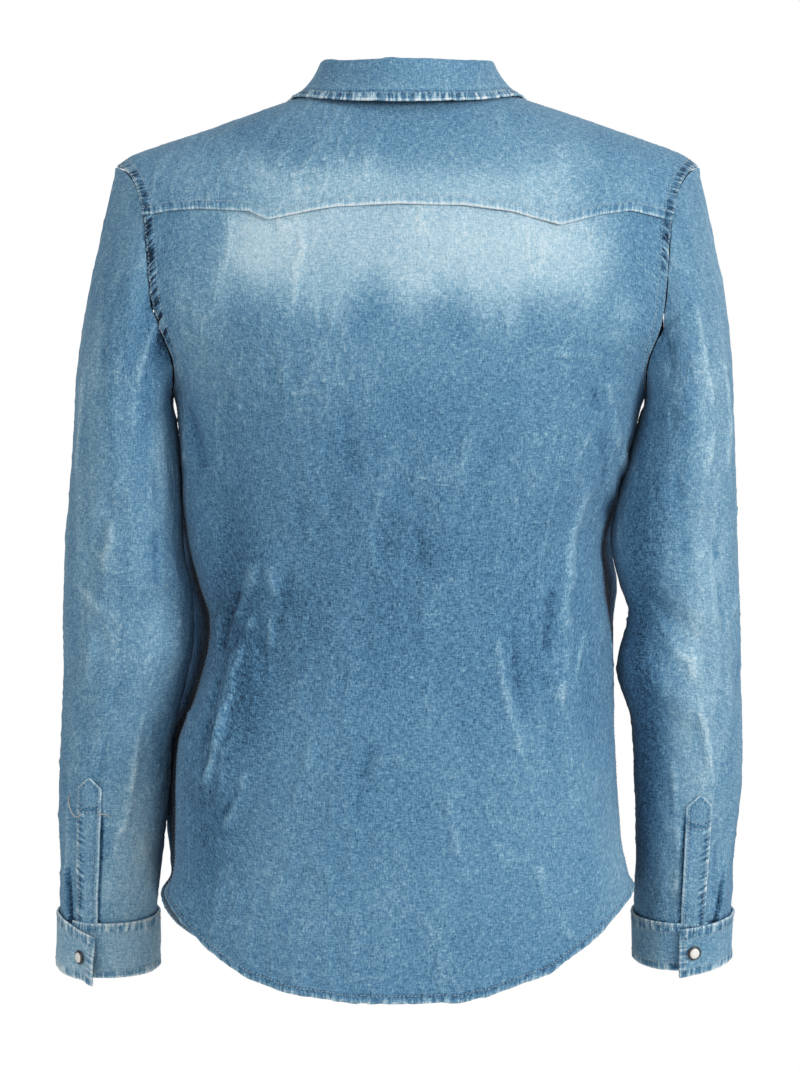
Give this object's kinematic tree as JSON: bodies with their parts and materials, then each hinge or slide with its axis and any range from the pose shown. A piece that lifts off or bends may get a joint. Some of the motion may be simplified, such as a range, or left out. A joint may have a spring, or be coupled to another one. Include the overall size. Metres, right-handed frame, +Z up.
{
  "type": "denim shirt",
  "caption": "Long-sleeved western denim shirt, filled out as if worn: pointed back yoke, turned-down collar, snap front and cuffs, shirt-tail hem.",
  "frame": {"origin": "The middle of the neck opening at the height of the collar seam, where the wearer's neck and shoulders hold the shirt up.", "axes": "+Z up, the front faces -Y, +X to the wearer's left. The shirt is longest along Z and thinnest along Y."},
  "size_m": [0.5617, 0.2602, 0.7515],
  "materials": {
    "denim": "washed mid-blue denim, bleached across the shoulder blades, with a fine slub weave",
    "stitching": "grey-beige topstitching thread",
    "snap_pearl": "white pearl cap",
    "snap_ring": "dark metal ring"
  },
  "bodies": {
    "root": {"back": "denim", "back_yoke": "denim", "left_front": "denim", "right_front": "denim", "front_band": "denim", "collar_stand": "denim", "collar_leaf": "denim", "left_sleeve": "denim", "left_cuff": "denim", "left_sleeve_placket": "denim", "right_sleeve": "denim", "right_cuff": "denim", "right_sleeve_placket": "denim", "front_snap_1": "snap_pearl", "front_snap_2": "snap_pearl", "front_snap_3": "snap_pearl", "front_snap_4": "snap_pearl", "front_snap_5": "snap_pearl", "front_snap_6": "snap_pearl", "front_snap_7": "snap_pearl", "collar_snap": "snap_pearl", "left_cuff_snap": "snap_pearl", "right_cuff_snap": "snap_pearl"}
  },
  "joints": []
}
